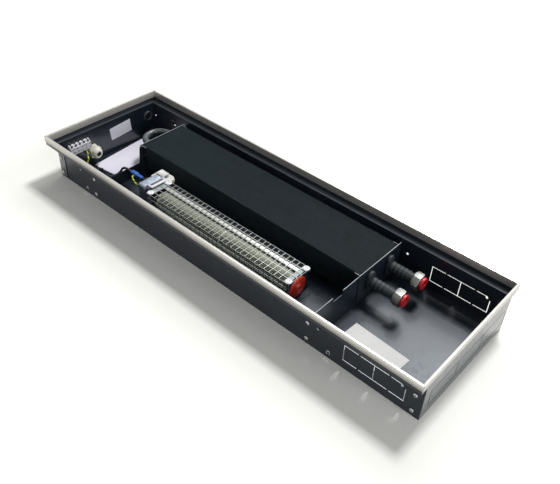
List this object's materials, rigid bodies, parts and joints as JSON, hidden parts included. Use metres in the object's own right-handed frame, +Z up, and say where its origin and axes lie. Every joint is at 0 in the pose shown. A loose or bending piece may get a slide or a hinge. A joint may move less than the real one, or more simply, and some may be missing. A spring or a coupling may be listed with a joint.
{
  "type": "trench convector heater",
  "caption": "Floor-trench convector in an aluminium-edged black tray: finned heat exchanger with hose tails and union nuts, guarded tangential fan with motor, wiring end.",
  "frame": {"origin": "middle of the tray's underside", "axes": "+X along the length towards the pipe connections, +Y across towards the heat exchanger, away from the fan, +Z up out of the trench"},
  "size_m": [0.95, 0.3, 0.1],
  "materials": {
    "black_paint": "semi-gloss black powder coat with a slight blue cast",
    "frame_aluminium": "satin anodised aluminium profile",
    "fin_coating": "matt black coated fins and tubes",
    "galvanised": "zinc-coated sheet, dull grey",
    "bright_aluminium": "bright rolled aluminium blades",
    "nickel": "nickel-plated brass, semi-bright",
    "red_plastic": "red moulded protective plug",
    "red_silicone": "red-orange silicone bearing cup",
    "lamination": "blue-grey lacquered motor laminations",
    "coil_tape": "cream insulation over the winding",
    "zinc_steel": "zinc-plated steel",
    "grey_nylon": "light grey moulded nylon",
    "white_nylon": "white moulded nylon",
    "blue_plastic": "blue plug and socket",
    "black_cable": "black cable sheath",
    "earth_wire": "green and yellow insulation",
    "paper": "white uncoated paper"
  },
  "bodies": {
    "casing": {"tray": "black_paint", "left_end_plate": "black_paint", "right_end_plate": "black_paint", "frame_near": "frame_aluminium", "frame_far": "frame_aluminium", "frame_left": "frame_aluminium", "frame_right": "frame_aluminium", "cross_plate_right": "black_paint", "cross_plate_left": "black_paint", "fin_pack": "fin_coating", "exchanger_end_plate_right": "black_paint", "exchanger_end_plate_left": "black_paint", "return_bend_lower": "fin_coating", "return_bend_upper": "fin_coating", "tail_near": "black_paint", "tail_far": "black_paint", "silicone_bearing": "red_silicone", "fan_shield_right": "black_paint", "fan_shield_left": "black_paint", "fan_guard": "galvanised", "guard_clip_near_left": "white_nylon", "guard_clip_far_left": "white_nylon", "guard_clip_near_right": "white_nylon", "guard_clip_far_right": "white_nylon", "fan_scroll": "galvanised", "fan_tongue": "galvanised", "motor_core": "lamination", "motor_coil": "coil_tape", "motor_strap": "zinc_steel", "motor_carrier": "white_nylon", "gland_body": "grey_nylon", "terminal_block": "white_nylon", "rating_label": "paper", "floor_sheet": "paper", "leaflet": "paper", "motor_lead": "black_cable", "lead_connector": "blue_plastic", "supply_lead": "black_cable", "earth_wire": "earth_wire", "earth_link": "earth_wire", "earth_stud": "zinc_steel", "screw_end_left_high": "zinc_steel", "screw_end_left_low": "zinc_steel", "screw_plate_left_high": "zinc_steel", "screw_plate_left_low": "zinc_steel", "screw_plate_right_high": "zinc_steel", "screw_plate_right_low": "zinc_steel", "screw_end_right_high": "zinc_steel", "screw_end_right_low": "zinc_steel"},
    "rotor": {"impeller": "bright_aluminium", "fan_shaft": "zinc_steel", "motor_rotor": "zinc_steel"},
    "nut_near": {"union_nut_near": "nickel"},
    "nut_far": {"union_nut_far": "nickel"},
    "plug_near": {"plug_near": "red_plastic"},
    "plug_far": {"plug_far": "red_plastic"},
    "gland_nut": {"gland_nut": "grey_nylon"}
  },
  "joints": [
    {"name": "rotor_spin", "type": "hinge", "parent": "casing", "child": "rotor", "pos_m": [0, -0.061, 0.0275], "axis": [1, 0, 0], "continuous": true},
    {"name": "nut_near_turn", "type": "hinge", "parent": "casing", "child": "nut_near", "pos_m": [0.32, 0.0295, 0.0435], "axis": [1, 0, 0], "continuous": true},
    {"name": "nut_far_turn", "type": "hinge", "parent": "casing", "child": "nut_far", "pos_m": [0.32, 0.0895, 0.0435], "axis": [1, 0, 0], "continuous": true},
    {"name": "plug_near_pull", "type": "slide", "parent": "nut_near", "child": "plug_near", "axis": [1, 0, 0], "range_m": [0, 0.014]},
    {"name": "plug_far_pull", "type": "slide", "parent": "nut_far", "child": "plug_far", "axis": [1, 0, 0], "range_m": [0, 0.014]},
    {"name": "gland_nut_turn", "type": "hinge", "parent": "casing", "child": "gland_nut", "pos_m": [-0.44, -0.05, 0.029], "axis": [1, 0, 0], "continuous": true}
  ]
}
